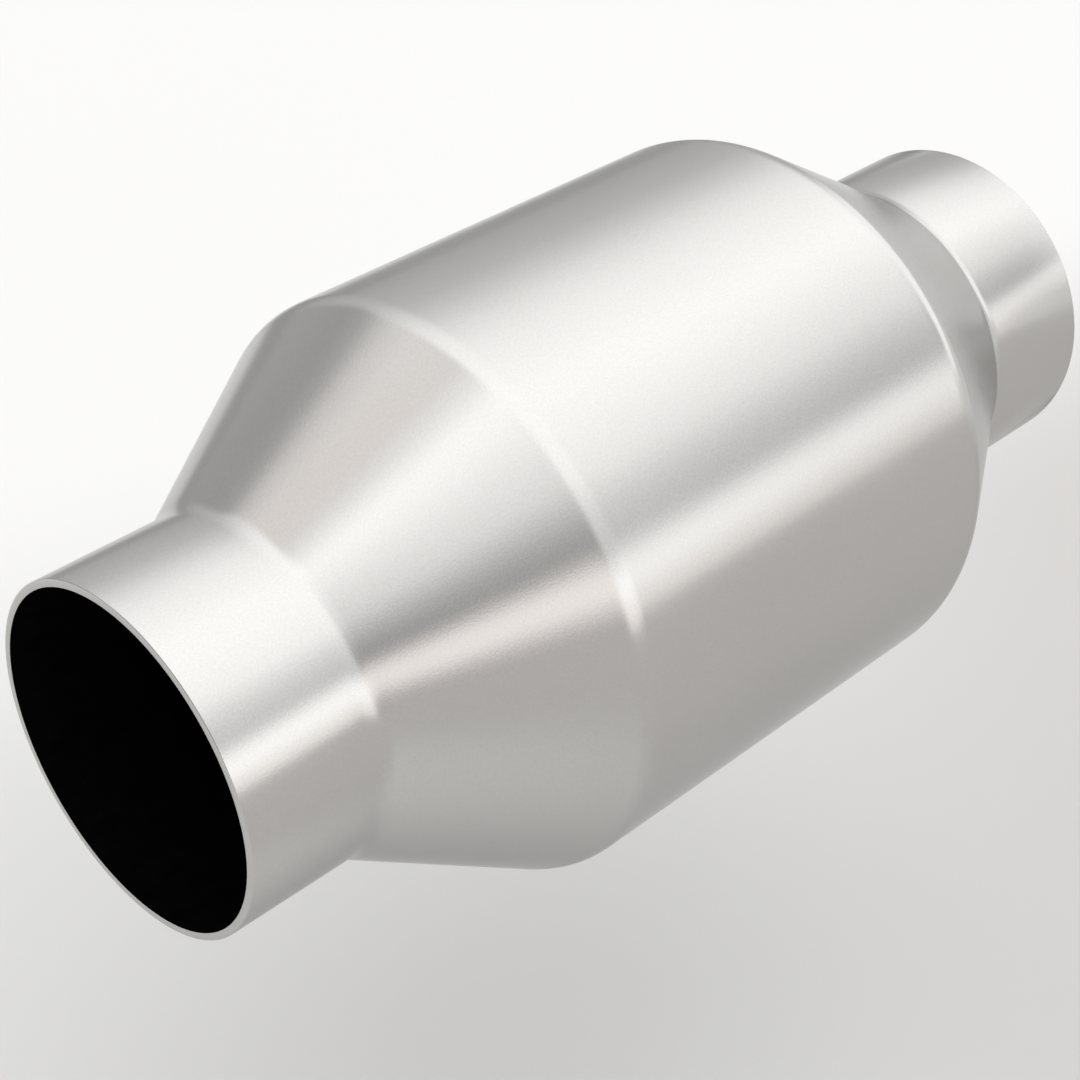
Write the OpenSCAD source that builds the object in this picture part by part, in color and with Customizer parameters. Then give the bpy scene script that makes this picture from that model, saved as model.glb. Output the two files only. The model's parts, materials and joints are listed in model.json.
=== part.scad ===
/* [Honeycomb brick] */
// Outside diameter of the ceramic brick
brick_d = 118.4; // [90:0.1:140]
// Length of the brick along the gas flow
brick_len = 90; // [60:0.5:150]
// Distance from the middle of one gas channel to the middle of the next
cell_pitch = 4.6; // [4.4:0.1:9]
// Thickness of the ceramic wall between two channels
cell_wall = 0.55; // [0.4:0.05:1]
// Thickness of the solid skin around the channels
brick_skin = 1; // [0.6:0.1:3]

/* [Support mat and seals] */
// Thickness of the mat after it is squeezed between brick and shell
mat_thick = 4.2; // [3:0.1:8]
// Length of each knitted wire seal along the brick
seal_len = 7; // [4:0.5:12]
// Rounding of the edges of a wire seal
seal_edge_r = 1.6; // [0.5:0.1:2]
// Width of the tongue where the two ends of the wrapped mat interlock
tongue_w = 30; // [15:1:36]
// Distance that the tongue reaches past the rest of the mat's end
tongue_reach = 26; // [16:1:60]
// Rounding of the joint's corners, along the middle of its gap
tongue_round = 4; // [2:0.5:6]
// Open gap left along the mat's joint
joint_gap = 0.8; // [0.4:0.1:2]

/* [Spun shell] */
// Wall of the body tube
body_wall = 1.5; // [1:0.1:3]
// Wall of the necks, which thickens as they are spun down
neck_wall = 1.9; // [1.2:0.1:3]
// Straight body past each end of the brick, up to the corner of the cone
end_margin = 7.2; // [5:0.1:30]
// Length of each cone along the axis, between its two corners
cone_len = 44; // [30:0.1:90]
// Outside diameter of both necks
neck_d = 76.2; // [50:0.1:80]
// Length of each straight neck past the corner of its cone
neck_len = 32; // [20:0.1:80]
// Outside radius of the bend from body to cone
shoulder_r = 9; // [5:0.5:14]
// Outside radius of the bend from cone to neck
root_r = 8.5; // [5:0.1:20]
// Rounding of the two edges on the cut end of a neck
edge_r = 0.4; // [0.2:0.05:0.55]

/* [Fits] */
// Clearance between the mat or a seal and the wall on either side of it
seat_gap = 0.1; // [0.05:0.05:0.3]
// Clearance between the mat and the seal next to it
seal_gap = 0.3; // [0.1:0.1:2]

/* [Hidden] */
// Flat steps in each bend of a turned outline
BEND_STEPS = 10;
// Flat steps in each small rounded edge of a turned outline
EDGE_STEPS = 4;
// Facets of a circle in the preview
$fn = 96;

body_d = brick_d + 2 * (mat_thick + body_wall);
body_r = body_d / 2;
neck_r = neck_d / 2;
brick_r = brick_d / 2;
body_inner_r = body_r - body_wall;
neck_inner_r = neck_r - neck_wall;

// Stations along the axis, measured from the middle of the converter
body_half = brick_len / 2 + end_margin;
cone_end = body_half + cone_len;
overall_half = cone_end + neck_len;

// Slope of the cone's outside face, and how far a bend draws the inside corner back
cone_angle = atan((body_r - neck_r) / cone_len);
body_setback = body_wall * tan(cone_angle / 2);
neck_setback = neck_wall * tan(cone_angle / 2);

mat_inner_r = brick_r + seat_gap;
mat_outer_r = body_inner_r - seat_gap;
mat_half = brick_len / 2 - seal_len - seal_gap;

// Channels of the brick, out to the inside of its skin
channel = cell_pitch - cell_wall;
channel_field_r = brick_r - brick_skin;
channel_rows = floor(channel_field_r / cell_pitch);

// Largest share of a seal's section that one rounded edge may take
EDGE_SHARE = 0.45;
// Past both faces of what it goes through
CUT_PAST = 1;

function unit(v) = v / norm(v);
function heading(v) = atan2(v.y, v.x);

// Points of one corner b of an outline, rounded to radius r in a number of steps
function bend(a, b, c, r, steps) =
    r <= 0 ? [b] :
    let (
        to_a = unit(a - b),
        to_c = unit(c - b),
        half = acos(to_a * to_c) / 2,
        centre = b + unit(to_a + to_c) * r / sin(half),
        from = heading(b + to_a * r / tan(half) - centre),
        to = heading(b + to_c * r / tan(half) - centre),
        turn = (to - from + 540) % 360 - 180
    )
    [for (i = [0:steps]) centre + r * [cos(from + turn * i / steps), sin(from + turn * i / steps)]];

// A closed outline, each corner of which is given as [x, y, radius, steps]
function rounded(corners) =
    let (last = len(corners))
    [for (i = [0:last - 1])
        let (
            before = corners[(i + last - 1) % last],
            here = corners[i],
            after = corners[(i + 1) % last]
        )
        each bend([before.x, before.y], [here.x, here.y], [after.x, after.y], here.z, here[3])];

function reversed(corners) = [for (i = [len(corners) - 1:-1:0]) corners[i]];

// The same corners at the other end of the converter, in reverse, so that an outline runs on
function mirrored(corners) = [for (k = reversed(corners)) [k.x, -k.y, k.z, k[3]]];

// Turns an outline drawn as [radius, station] about the gas flow, which runs along X
module turned() {
    rotate([0, 90, 0]) rotate_extrude() children();
}

// One tube, spun down at both ends into a cone and a neck, so the whole shell is one wall
module spun_shell() {
    outside = [
        [neck_r, overall_half, edge_r, EDGE_STEPS],
        [neck_r, cone_end, root_r, BEND_STEPS],
        [body_r, body_half, shoulder_r, BEND_STEPS]
    ];
    inside = [
        [body_inner_r, body_half - body_setback, shoulder_r - body_wall, BEND_STEPS],
        [neck_inner_r, cone_end - neck_setback, root_r + neck_wall, BEND_STEPS],
        [neck_inner_r, overall_half, edge_r, EDGE_STEPS]
    ];
    color([0.6, 0.59, 0.58])
    turned() polygon(rounded(concat(outside, mirrored(outside), mirrored(inside), inside)));
}

// Square gas channels, those at the rim cut to the round of the skin
module channels() {
    intersection() {
        circle(channel_field_r);
        for (row = [-channel_rows:channel_rows], column = [-channel_rows:channel_rows])
            if (norm([row, column]) * cell_pitch < channel_field_r - channel / 2)
                translate([row, column] * cell_pitch) square(channel, center = true);
    }
}

// Extruded ceramic monolith with a channel through it for every square of the grid
module honeycomb_brick() {
    color([0.24, 0.22, 0.2])
    rotate([0, 90, 0])
    linear_extrude(height = brick_len, center = true)
    difference() {
        circle(brick_r);
        channels();
    }
}

// Corners along one side of the mat's joint, laid flat: side is -1 at the tongue, 1 at its slot
function joint_side(side) =
    let (
        away = side * joint_gap / 2,
        across = tongue_w / 2 + away,
        base = away - tongue_reach / 2,
        tip = away + tongue_reach / 2,
        inner = tongue_round - away,
        outer = tongue_round + away,
        end = mat_half + CUT_PAST
    )
    [
        [-end, base, 0, 0], [-across, base, inner, EDGE_STEPS], [-across, tip, outer, EDGE_STEPS],
        [across, tip, outer, EDGE_STEPS], [across, base, inner, EDGE_STEPS], [end, base, 0, 0]
    ];

// Fibre mat wrapped around the brick, its ends interlocked at the top by a tongue in a slot
module support_mat() {
    color([0.86, 0.82, 0.7])
    difference() {
        turned() translate([mat_inner_r, -mat_half]) square([mat_outer_r - mat_inner_r, 2 * mat_half]);
        linear_extrude(height = mat_outer_r + CUT_PAST)
        polygon(rounded(concat(joint_side(-1), reversed(joint_side(1)))));
    }
}

// Ring of knitted wire that closes the end of the mat against the gas
module wire_seal() {
    edge = min(seal_edge_r, EDGE_SHARE * min(mat_outer_r - mat_inner_r, seal_len));
    turned()
    polygon(rounded([
        [mat_inner_r, 0, edge, EDGE_STEPS],
        [mat_outer_r, 0, edge, EDGE_STEPS],
        [mat_outer_r, seal_len, edge, EDGE_STEPS],
        [mat_inner_r, seal_len, edge, EDGE_STEPS]
    ]));
}

module inlet_wire_seal() {
    color([0.6, 0.59, 0.57]) translate([-brick_len / 2, 0, 0]) wire_seal();
}

module outlet_wire_seal() {
    color([0.6, 0.59, 0.57]) translate([brick_len / 2 - seal_len, 0, 0]) wire_seal();
}

spun_shell();
honeycomb_brick();
support_mat();
inlet_wire_seal();
outlet_wire_seal();
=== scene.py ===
import json
import math

import bmesh
import bpy
from mathutils import Matrix, Vector


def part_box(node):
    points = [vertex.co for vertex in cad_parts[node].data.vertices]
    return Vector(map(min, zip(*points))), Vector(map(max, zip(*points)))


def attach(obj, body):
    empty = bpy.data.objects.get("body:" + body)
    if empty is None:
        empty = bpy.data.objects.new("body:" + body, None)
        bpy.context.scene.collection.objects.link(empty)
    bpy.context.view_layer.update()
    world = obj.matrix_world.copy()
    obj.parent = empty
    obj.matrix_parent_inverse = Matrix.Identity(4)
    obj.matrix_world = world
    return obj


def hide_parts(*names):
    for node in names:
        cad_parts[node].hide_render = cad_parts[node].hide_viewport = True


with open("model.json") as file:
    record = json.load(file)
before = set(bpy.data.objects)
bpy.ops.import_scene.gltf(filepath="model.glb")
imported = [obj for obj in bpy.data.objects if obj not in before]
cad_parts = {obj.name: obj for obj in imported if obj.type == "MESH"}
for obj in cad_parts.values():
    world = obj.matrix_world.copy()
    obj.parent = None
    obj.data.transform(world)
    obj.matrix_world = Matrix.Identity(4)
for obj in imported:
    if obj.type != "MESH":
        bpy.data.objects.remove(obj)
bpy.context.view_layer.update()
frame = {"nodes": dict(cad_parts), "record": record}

MM = 0.001
MOUNTS = {mount["name"]: mount["dims"] for mount in frame["record"]["mounts"]}

# Spun shell, measured along the gas flow from the middle and out from the axis
HALF_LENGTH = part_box("spun_shell")[1].x
BODY_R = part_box("spun_shell")[1].z
NECK_R = MOUNTS["inlet_neck"]["r_mm"] * MM
BORE_R = MOUNTS["inlet_bore"]["r_mm"] * MM
BODY_WALL = 1.5 * MM
CONE_START = 52.2 * MM
CONE_END = 96.2 * MM
SHOULDER_BEND_R = 9 * MM
ROOT_BEND_R = 8.5 * MM
RIM_EDGE_R = 0.25 * MM
SHELL_STEPS = 256
BEND_STEPS = 12
EDGE_STEPS = 3
# A rounding larger than this is a bend, and a smaller one a rounded edge
WIDE_BEND = 2 * MM
# Straight rim beside each bend, so that smooth shading doesn't creep along the cones
GUARD = 0.4 * MM
# Faces this much turned towards the axis are the shell's inside, in black painted shade
INWARD = -0.1
# Points nearer than this are one
MERGE = 1e-7

# Satin steel mirrors a little less than bare metal would where it turns away from the eye
EDGE_TINT = (0.8, 0.8, 0.8, 1)

# Share of soft clouds in the steel's shade, the rest of which is grain
CLOUD_SHARE = 0.18

# Ceramic brick
BRICK_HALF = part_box("honeycomb_brick")[1].x
BRICK_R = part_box("honeycomb_brick")[1].z
CELL_PITCH = 1.27 * MM
CELL_WALL = 0.2 * MM
BRICK_SKIN = 1 * MM
BRICK_STEPS = 192

# Mica flecks in the mat: the distance from one to the next, and their radius as a share of it
FLECK_PITCH = 2.5 * MM
FLECK_SHARE = 0.18

# Knitted wire seals
SEAT_GAP = 0.1 * MM
SEAL_EDGE_R = 1.6 * MM
SEAL_STEPS = 150
SEAL_EDGE_STEPS = 1
# A side of the seal's section longer than this is halved, so that the net's diamonds are alike
STITCH = 2.5 * MM
WIRE_D = 0.3 * MM
CORE_DEPTH = 0.4 * MM

# Camera of the photograph, aimed just beside the middle of the converter
CAMERA_TURN = math.radians(-45)
CAMERA_RISE = math.radians(35)
CAMERA_AIM = Vector((-12.8, 4.6, -8.2)) * MM
CAMERA_DISTANCE = 503.5 * MM
# Both in millimetres, as a camera takes them
LENS = 76.04
SENSOR = 36

# The part hangs this far above a pale floor, with painted warm light to the right of the camera's
# view, painted light on the far side and beyond the outlet, and painted shade a long way behind
FLOOR_DROP = 100 * MM
FLOOR_R = 8000 * MM
FLOOR_STEPS = 64
FLOOR_PALE = (0.675, 0.675, 0.67, 1)
FLOOR_PAINTED_WARM_LIGHT = (0.585, 0.57, 0.56, 1)
FLOOR_PAINTED_LIGHT = (0.8, 0.8, 0.795, 1)
FLOOR_PAINTED_SHADE = (0.43, 0.43, 0.428, 1)
# Where each patch of painted light and shade starts, and where it is full
PAINTED_WARM_LIGHT_SPAN = (30 * MM, 190 * MM)
PAINTED_LIGHT_SPAN = (130 * MM, 330 * MM)
PAINTED_SHADE_SPAN = (680 * MM, 1000 * MM)
OUTLET_PAINTED_LIGHT_SPAN = (300 * MM, 700 * MM)
# Share of the way along the converter that brings the far side's painted light nearer
SLANT_OF_PAINTED_LIGHT = 0.3

# Level of light that full white stands for
LIGHT_TOP = 2
# Light round the axis of the shell: degrees from straight up towards the camera's side, level,
# and how warm it is
LIGHT_BANDS = [
    (-180, 0.40, 0), (-98, 0.42, 0), (-88, 0.66, 0), (-74, 0.74, 0), (-62, 0.80, 0),
    (-50, 1.02, 0), (-38, 1.32, 0), (-26, 1.52, 0), (-13, 1.62, 0), (0, 1.72, 0), (12, 1.72, 0),
    (25, 1.68, 0), (38, 1.58, 0), (50, 1.16, 0), (60, 0.93, 0), (65, 0.93, 0), (71, 1.66, 0),
    (78, 1.80, 0), (86, 1.40, 1), (97, 1.05, 1), (180, 0.40, 0)
]
INLET_BANDS = [
    (-180, 0.40, 0), (-98, 0.56, 0), (-64, 0.52, 0), (-57, 0.58, 0), (-48, 0.95, 1),
    (-37, 1.12, 1), (-18, 1.10, 1), (-10, 1.34, 0), (1, 1.78, 0), (13, 1.62, 0), (25, 1.42, 0),
    (38, 1.25, 0), (50, 0.75, 0), (60, 0.44, 0), (64, 0.58, 1), (70, 1.45, 1), (79, 1.50, 1),
    (87, 0.70, 1), (97, 0.50, 1), (180, 0.40, 0)
]
# The directions below are given by their share along the gas flow, from -1 to 1
INLET_BANDS_FROM = (0, -0.3)
# Behind the converter the inlet's bands start this much sooner, past these turns in radians
SOONER = 0.3
SOONER_TURN = (-0.8, -1.1)
# On the camera's side the light towards the outlet falls by this much
DIMMED = 0.22
DIMMED_FROM = (0.45, 0.85)
DIMMED_TURN = (0, 0.7)
# Plain light beyond each end
OUTLET_LEVEL = 1.6
OUTLET_FROM = (0.86, 0.95)
INLET_LEVEL = 0.4
INLET_FROM = (-0.5, -0.75)
# What a warm band adds to its red and takes from its blue
WARM_TINT = (0.045, 0.019)

# Places of a Mix node's colour sockets, whose names its other sockets share
MIX_FACTOR = 0
MIX_FIRST = 6
MIX_SECOND = 7
MIX_RESULT = 2


class Value:
    """A number or colour that changes over a surface. Sums and products add Math nodes."""

    def __init__(self, graph, socket):
        self.graph = graph
        self.socket = socket

    def math(self, operation, *others):
        inputs = {i: value for i, value in enumerate((self, *others))}
        return self.graph.add("ShaderNodeMath", {"operation": operation}, inputs)["Value"]

    def __add__(self, other):
        return self.math("ADD", other)

    def __sub__(self, other):
        return self.math("SUBTRACT", other)

    def __mul__(self, other):
        return self.math("MULTIPLY", other)

    def __rsub__(self, other):
        return self * -1 + other

    __radd__ = __add__
    __rmul__ = __mul__


class Outputs:
    """The outputs of a node, each taken by its name or its place."""

    def __init__(self, graph, node):
        self.graph = graph
        self.node = node

    def __getitem__(self, name):
        return Value(self.graph, self.node.outputs[name])


class Graph:
    """The nodes of one material, or of the world."""

    def __init__(self, tree):
        tree.nodes.clear()
        self.tree = tree

    def add(self, kind, settings=None, inputs=None):
        """Adds a node with its settings, and with the values or links of its sockets."""
        node = self.tree.nodes.new(kind)
        for name, setting in (settings or {}).items():
            if name == "stops":
                self.fill_ramp(node.color_ramp, setting)
            else:
                setattr(node, name, setting)
        for name, value in (inputs or {}).items():
            if isinstance(value, Value):
                self.tree.links.new(value.socket, node.inputs[name])
            else:
                node.inputs[name].default_value = value
        return Outputs(self, node)

    def fill_ramp(self, ramp, stops):
        elements = ramp.elements
        while len(elements) > 1:
            elements.remove(elements[0])
        elements[0].position, elements[0].color = stops[0]
        for place, color in stops[1:]:
            elements.new(place).color = color

    def noise(self, place, size, detail=2.0):
        """Cloudy noise from 0 to 1, with features of the given size."""
        inputs = {"Vector": place, "Scale": 1 / size, "Detail": detail}
        return self.add("ShaderNodeTexNoise", None, inputs)["Fac"]

    def ease(self, value, start, end):
        """0 up to start and 1 past end, with a smooth rise between them."""
        settings = {"interpolation_type": "SMOOTHSTEP"}
        inputs = {"Value": value, "From Min": start, "From Max": end}
        return self.add("ShaderNodeMapRange", settings, inputs)["Result"]

    def mix(self, factor, first, second):
        """The first colour where the factor is 0, the second where it is 1."""
        inputs = {MIX_FACTOR: factor, MIX_FIRST: first, MIX_SECOND: second}
        return self.add("ShaderNodeMix", {"data_type": "RGBA"}, inputs)[MIX_RESULT]


def grey(level, warmth=0):
    """A grey of the given level, from plain to fully warm as warmth goes from 0 to 1."""
    red, blue = WARM_TINT
    return (level * (1 + red * warmth), level, level * (1 - blue * warmth), 1)


def new_material(name):
    """A new material, its graph and the object coordinates that its patterns read."""
    material = bpy.data.materials.new(name)
    material.use_nodes = True
    graph = Graph(material.node_tree)
    return material, graph, graph.add("ShaderNodeTexCoord")["Object"]


def finish_material(graph, look):
    """Gives the material its one surface, with the given look."""
    surface = graph.add("ShaderNodeBsdfPrincipled", None, look)
    graph.add("ShaderNodeOutputMaterial", None, {"Surface": surface["BSDF"]})


def bump(graph, height, depth):
    return graph.add("ShaderNodeBump", None, {"Height": height, "Distance": depth})["Normal"]


def satin_steel():
    """Stainless steel with a fine, even satin grain."""
    material, graph, place = new_material("satin_steel")
    grain = graph.noise(place, 0.4 * MM, 1)
    clouds = graph.noise(place, 30 * MM)
    shade = CLOUD_SHARE * clouds + (1 - CLOUD_SHARE) * grain
    color = graph.mix(shade, (0.514, 0.508, 0.497, 1), (0.614, 0.608, 0.594, 1))
    finish_material(graph, {
        "Base Color": color,
        "Metallic": 1,
        "Specular Tint": EDGE_TINT,
        "Roughness": 0.15 + 0.04 * clouds + 0.03 * grain,
        "Normal": bump(graph, grain, 0.008 * MM),
    })
    return material


def black_painted_shade():
    """Near-black painted shade for the inside of the shell and the cores of the seals."""
    material, graph, place = new_material("black_painted_shade")
    black_mottle = graph.noise(place, 4 * MM)
    finish_material(graph, {
        "Base Color": graph.mix(black_mottle, grey(0.001), grey(0.004)),
        "Roughness": 1,
        "Specular IOR Level": 0,
        "Normal": bump(graph, black_mottle, 0.1 * MM),
    })
    return material


def coated_ceramic():
    """Unglazed ceramic under a dark grey-brown catalyst coating."""
    material, graph, place = new_material("coated_ceramic")
    blotches = graph.noise(place, 9 * MM, 4)
    pores = graph.noise(place, 0.3 * MM)
    finish_material(graph, {
        "Base Color": graph.mix(blotches, (0.2, 0.18, 0.16, 1), (0.28, 0.26, 0.235, 1)),
        "Roughness": 0.8 + 0.15 * pores,
        "Normal": bump(graph, pores, 0.05 * MM),
    })
    return material


def mat_fibre():
    """Pressed ceramic fibre with flecks of mica."""
    material, graph, place = new_material("mat_fibre")
    fibres = graph.noise(place, 0.5 * MM, 6)
    flecks = graph.add("ShaderNodeTexVoronoi", None, {"Vector": place, "Scale": 1 / FLECK_PITCH})
    mica = flecks["Distance"].math("LESS_THAN", FLECK_SHARE)
    base = graph.mix(fibres, (0.8, 0.75, 0.62, 1), (0.9, 0.87, 0.77, 1))
    finish_material(graph, {
        "Base Color": graph.mix(mica, base, (0.5, 0.4, 0.22, 1)),
        "Roughness": 0.95 - 0.5 * mica,
        "Normal": bump(graph, fibres, 0.2 * MM),
    })
    return material


def knitted_wire():
    """Bright stainless wire, a little dulled by heat."""
    material, graph, place = new_material("knitted_wire")
    tarnish = graph.noise(place, 3 * MM)
    finish_material(graph, {
        "Base Color": graph.mix(tarnish, (0.42, 0.40, 0.37, 1), (0.6, 0.59, 0.57, 1)),
        "Metallic": 1,
        "Roughness": 0.3 + 0.2 * tarnish,
        "Normal": bump(graph, tarnish, 0.02 * MM),
    })
    return material


def draw_outline(bm, corners, edge_steps=EDGE_STEPS):
    """Draws a closed outline in the XZ plane from corners given as (station, radius, rounding)."""
    points = [Vector((x, 0, z)) for x, z, rounding in corners]
    last = len(points)
    first_vert = None
    pen = None
    for i, corner in enumerate(points):
        rounding = corners[i][2]
        back = (points[i - 1] - corner).normalized()
        ahead = (points[(i + 1) % last] - corner).normalized()
        half = back.angle(ahead) / 2
        turn = math.pi - 2 * half
        # The rounding starts this far from the corner, round a centre between its two sides
        reach = rounding / math.tan(half)
        centre = corner + (back + ahead).normalized() * rounding / math.sin(half)
        axis = back.cross(ahead).normalized()
        wide = rounding > WIDE_BEND
        steps = BEND_STEPS if wide else edge_steps
        start = bm.verts.new(corner + back * reach)
        arc = bmesh.ops.spin(
            bm, geom=[start], cent=centre, axis=-axis, angle=turn, steps=steps, dvec=(0, 0, 0))
        end = next(part for part in arc["geom_last"] if isinstance(part, bmesh.types.BMVert))
        if wide:
            before = bm.verts.new(corner + back * (reach + GUARD))
            bm.edges.new((before, start))
            after = bm.verts.new(corner + ahead * (reach + GUARD))
            bm.edges.new((end, after))
            start = before
            end = after
        if pen is None:
            first_vert = start
        else:
            bm.edges.new((pen, start))
        pen = end
    bm.edges.new((pen, first_vert))


def spin_round(bm, steps):
    """Turns the outline in bm about the gas flow into a closed ring."""
    bmesh.ops.spin(
        bm, geom=bm.verts[:] + bm.edges[:], cent=(0, 0, 0), axis=(1, 0, 0), dvec=(0, 0, 0),
        angle=2 * math.pi, steps=steps, use_merge=True)
    bmesh.ops.remove_doubles(bm, verts=bm.verts, dist=MERGE)
    bmesh.ops.recalc_face_normals(bm, faces=bm.faces)


def make_piece(name, bm, materials, slot, *nodes, smooth=True):
    """Makes the finished mesh a piece of the converter that stands for the given nodes."""
    mesh = bpy.data.meshes.new(name)
    for face in bm.faces:
        face.smooth = smooth
    bm.to_mesh(mesh)
    bm.free()
    for material in materials:
        mesh.materials.append(material)
    piece = bpy.data.objects.new(name, mesh)
    bpy.context.scene.collection.objects.link(piece)
    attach(piece, "root")
    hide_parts(*nodes)


def other_end(corners):
    """The same corners at the converter's other end, in reverse, so that an outline runs on."""
    return [(-x, z, rounding) for x, z, rounding in reversed(corners)]


def shell():
    """One tube, spun down at both ends to a cone and a neck."""
    neck_wall = NECK_R - BORE_R
    slope = math.atan((BODY_R - NECK_R) / (CONE_END - CONE_START))
    # How far each inside corner lies nearer the middle than the outside one
    body_shift = BODY_WALL * math.tan(slope / 2)
    neck_shift = neck_wall * math.tan(slope / 2)
    outside = [
        (-HALF_LENGTH, NECK_R, RIM_EDGE_R),
        (-CONE_END, NECK_R, ROOT_BEND_R),
        (-CONE_START, BODY_R, SHOULDER_BEND_R),
    ]
    inside = [
        (HALF_LENGTH, BORE_R, RIM_EDGE_R),
        (CONE_END - neck_shift, BORE_R, ROOT_BEND_R + neck_wall),
        (CONE_START - body_shift, BODY_R - BODY_WALL, SHOULDER_BEND_R - BODY_WALL),
    ]
    bm = bmesh.new()
    draw_outline(bm, outside + other_end(outside) + inside + other_end(inside))
    spin_round(bm, SHELL_STEPS)
    # The inside takes the black painted shade, and the outside the satin steel
    for face in bm.faces:
        middle = face.calc_center_median()
        outward = Vector((0, middle.y, middle.z)).normalized()
        face.material_index = 1 if face.normal.dot(outward) < INWARD else 0
    make_piece("shell", bm, [satin_steel(), black_painted_shade()], "shell_steel", "spun_shell")


def brick():
    """Extruded ceramic with a fine square channel in each cell of a grid."""
    field_r = BRICK_R - BRICK_SKIN
    rows = 2 * math.ceil(field_r / CELL_PITCH)
    bm = bmesh.new()
    # Squares that lie whole inside the skin, with the rest filled out to the rim
    bmesh.ops.create_grid(bm, x_segments=rows, y_segments=rows, size=rows * CELL_PITCH / 2)
    cut = [face for face in bm.faces if max(vert.co.length for vert in face.verts) > field_r]
    bmesh.ops.delete(bm, geom=cut, context="FACES")
    cells = bm.faces[:]
    margin = [edge for edge in bm.edges if edge.is_boundary]
    skin = bmesh.ops.create_circle(bm, segments=BRICK_STEPS, radius=BRICK_R)
    rim = {edge for vert in skin["verts"] for edge in vert.link_edges}
    bmesh.ops.triangle_fill(bm, edges=margin + list(rim))
    # Each square shrinks by half a wall all round, and opens
    bmesh.ops.inset_individual(bm, faces=cells, thickness=CELL_WALL / 2, use_even_offset=True)
    bmesh.ops.delete(bm, geom=cells, context="FACES")
    # The flat pattern grows into the brick, which then turns to lie along the gas flow
    grown = bmesh.ops.extrude_face_region(bm, geom=bm.faces[:], use_keep_orig=True)
    front = [part for part in grown["geom"] if isinstance(part, bmesh.types.BMVert)]
    bmesh.ops.translate(bm, verts=front, vec=(0, 0, 2 * BRICK_HALF))
    bmesh.ops.translate(bm, verts=bm.verts, vec=(0, 0, -BRICK_HALF))
    bmesh.ops.rotate(bm, verts=bm.verts, matrix=Matrix.Rotation(math.pi / 2, 3, "Y"))
    bmesh.ops.recalc_face_normals(bm, faces=bm.faces)
    make_piece(
        "brick", bm, [coated_ceramic()], "coated_ceramic", "honeycomb_brick", smooth=False)


def seal_section(bm, node, depth):
    """Draws the section of a wire seal, sunk below its faces by the given depth."""
    low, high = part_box(node)
    inner = BRICK_R + SEAT_GAP + depth
    outer = high.z - depth
    near = low.x + depth
    far = high.x - depth
    rounding = SEAL_EDGE_R - depth
    draw_outline(bm, [
        (near, inner, rounding),
        (near, outer, rounding),
        (far, outer, rounding),
        (far, inner, rounding),
    ], SEAL_EDGE_STEPS)
    long_sides = [side for side in bm.edges if side.calc_length() > STITCH]
    bmesh.ops.subdivide_edges(bm, edges=long_sides, cuts=1)


def wire_seal(name, node):
    """Ring of knitted wire: a net of diamonds over a core in black painted shade."""
    bm = bmesh.new()
    seal_section(bm, node, WIRE_D / 2)
    spin_round(bm, SEAL_STEPS)
    # Squares cut from corner to corner, then without their own edges, leave diamonds
    straight = bm.edges[:]
    bmesh.ops.poke(bm, faces=bm.faces)
    bmesh.ops.dissolve_edges(bm, edges=straight, use_verts=False)
    bmesh.ops.wireframe(
        bm, faces=bm.faces, thickness=WIRE_D, use_replace=True, use_even_offset=True)
    core = bmesh.new()
    seal_section(core, node, CORE_DEPTH)
    spin_round(core, SEAL_STEPS)
    # The core takes the black painted shade, for the shaded depth of the knit
    for face in core.faces:
        face.material_index = 1
    mesh = bpy.data.meshes.new("core")
    core.to_mesh(mesh)
    core.free()
    bm.from_mesh(mesh)
    bpy.data.meshes.remove(mesh)
    make_piece(name, bm, [knitted_wire(), black_painted_shade()], "knitted_wire", node)


def mat():
    """The wrapped mat keeps its own solid, in a fibre finish."""
    node = frame["nodes"]["support_mat"]
    node.data.materials.clear()
    node.data.materials.append(mat_fibre())


def camera():
    """The camera that took the photograph, from the front left and above."""
    data = bpy.data.cameras.new("camera")
    data.lens = LENS
    data.sensor_width = SENSOR
    data.clip_start = 10 * MM
    back = Vector((
        math.sin(CAMERA_TURN) * math.cos(CAMERA_RISE),
        -math.cos(CAMERA_TURN) * math.cos(CAMERA_RISE),
        math.sin(CAMERA_RISE),
    ))
    view = bpy.data.objects.new("camera", data)
    view.location = CAMERA_AIM + back * CAMERA_DISTANCE
    view.rotation_euler = back.to_track_quat("Z", "Y").to_euler()
    bpy.context.scene.collection.objects.link(view)
    bpy.context.scene.camera = view


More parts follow.
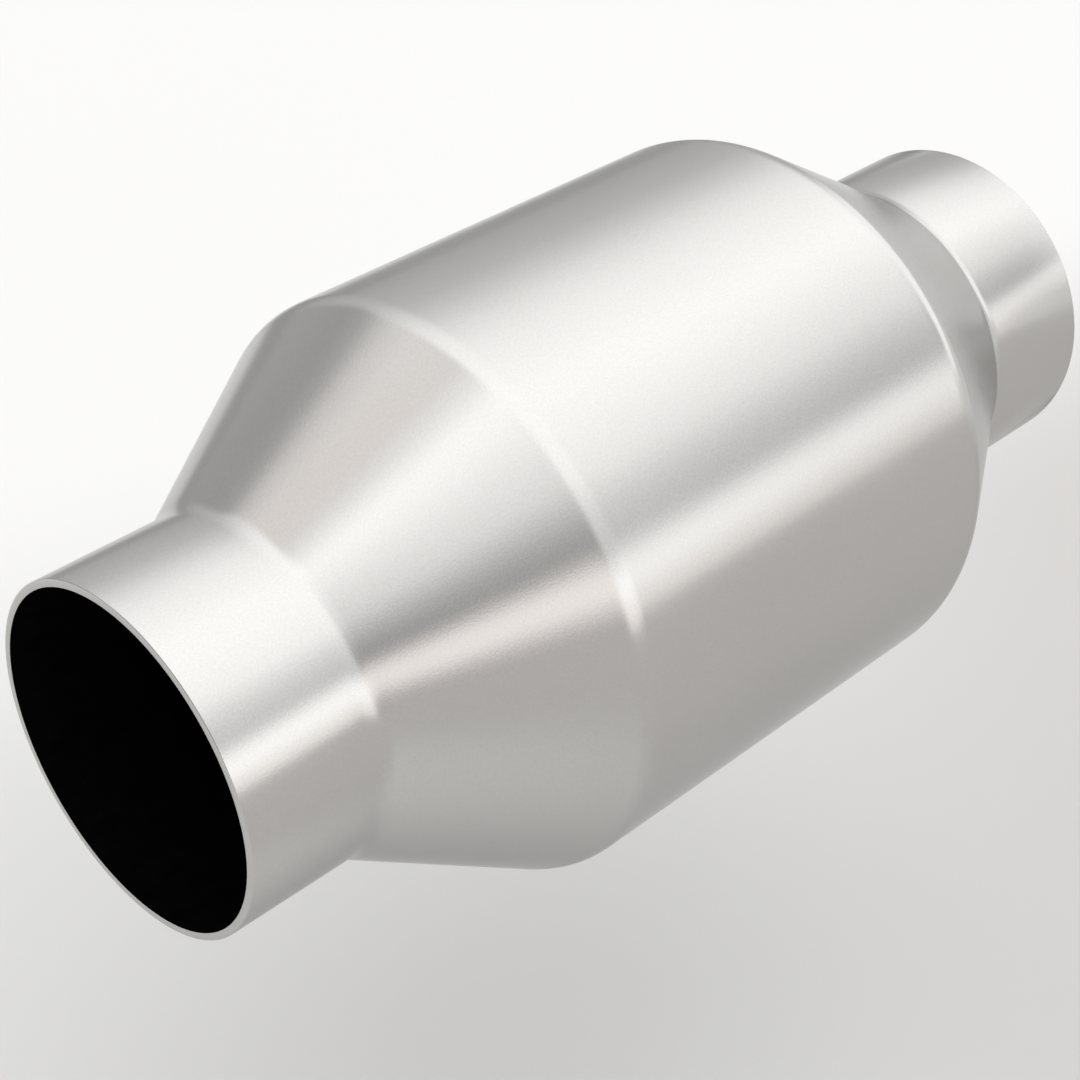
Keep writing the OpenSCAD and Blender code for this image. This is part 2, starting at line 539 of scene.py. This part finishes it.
def floor():
    """A wide round floor, shaded as a large studio floor is away from its lamps."""
    bm = bmesh.new()
    bmesh.ops.create_circle(bm, cap_ends=True, segments=FLOOR_STEPS, radius=FLOOR_R)
    bmesh.ops.translate(bm, verts=bm.verts, vec=(0, 0, -BODY_R - FLOOR_DROP))
    mesh = bpy.data.meshes.new("floor")
    bm.to_mesh(mesh)
    bm.free()
    material, graph, place = new_material("floor")
    parts = graph.add("ShaderNodeSeparateXYZ", None, {"Vector": place})
    right = (parts["X"] - parts["Y"]) * math.sqrt(0.5)
    far_side = parts["Y"] + parts["X"] * SLANT_OF_PAINTED_LIGHT
    behind = (parts["X"] + parts["Y"]) * math.sqrt(0.5)
    beyond = parts["X"] - parts["Y"].math("ABSOLUTE")
    # Painted warm light to the right, painted light on the far side and beyond the outlet, and
    # painted shade far behind
    color = graph.mix(graph.ease(right, *PAINTED_WARM_LIGHT_SPAN), FLOOR_PALE, FLOOR_PAINTED_WARM_LIGHT)
    color = graph.mix(graph.ease(far_side, *PAINTED_LIGHT_SPAN), color, FLOOR_PAINTED_LIGHT)
    color = graph.mix(graph.ease(behind, *PAINTED_SHADE_SPAN), color, FLOOR_PAINTED_SHADE)
    finish_material(graph, {
        "Base Color": graph.mix(graph.ease(beyond, *OUTLET_PAINTED_LIGHT_SPAN), color, FLOOR_PAINTED_LIGHT),
        "Roughness": 1,
        "Specular IOR Level": 0,
    })
    mesh.materials.append(material)
    piece = bpy.data.objects.new("floor", mesh)
    bpy.context.scene.collection.objects.link(piece)


def band_ramp(graph, share, bands):
    """The bands as colours round the axis, by the share of a full turn."""
    stops = [((turn + 180) / 360, grey(level / LIGHT_TOP, warmth)) for turn, level, warmth in bands]
    return graph.add("ShaderNodeValToRGB", {"stops": stops}, {"Fac": share})["Color"]


def studio_light():
    """Soft light in long bands that run along the converter, dimmer beyond its inlet."""
    world = bpy.data.worlds.new("studio")
    bpy.context.scene.world = world
    world.use_nodes = True
    graph = Graph(world.node_tree)
    direction = graph.add("ShaderNodeTexCoord")["Generated"]
    parts = graph.add("ShaderNodeSeparateXYZ", None, {"Vector": direction})
    turn = (parts["Y"] * -1).math("ARCTAN2", parts["Z"])
    share = turn * (1 / (2 * math.pi)) + 0.5
    middle = band_ramp(graph, share, LIGHT_BANDS)
    inlet = band_ramp(graph, share, INLET_BANDS)
    flow = parts["X"]
    sooner = SOONER * graph.ease(turn, *SOONER_TURN)
    light = graph.mix(graph.ease(flow - sooner, *INLET_BANDS_FROM), middle, inlet)
    dimmed = DIMMED * graph.ease(flow, *DIMMED_FROM) * graph.ease(turn, *DIMMED_TURN)
    light = graph.mix(dimmed, light, grey(0))
    light = graph.mix(graph.ease(flow, *OUTLET_FROM), light, grey(OUTLET_LEVEL / LIGHT_TOP))
    light = graph.mix(graph.ease(flow, *INLET_FROM), light, grey(INLET_LEVEL / LIGHT_TOP))
    background = graph.add("ShaderNodeBackground", None, {"Color": light, "Strength": LIGHT_TOP})
    graph.add("ShaderNodeOutputWorld", None, {"Surface": background["Background"]})


camera()
shell()
brick()
mat()
wire_seal("inlet_seal", "inlet_wire_seal")
wire_seal("outlet_seal", "outlet_wire_seal")
floor()
studio_light()
bpy.context.scene.view_settings.view_transform = "Standard"
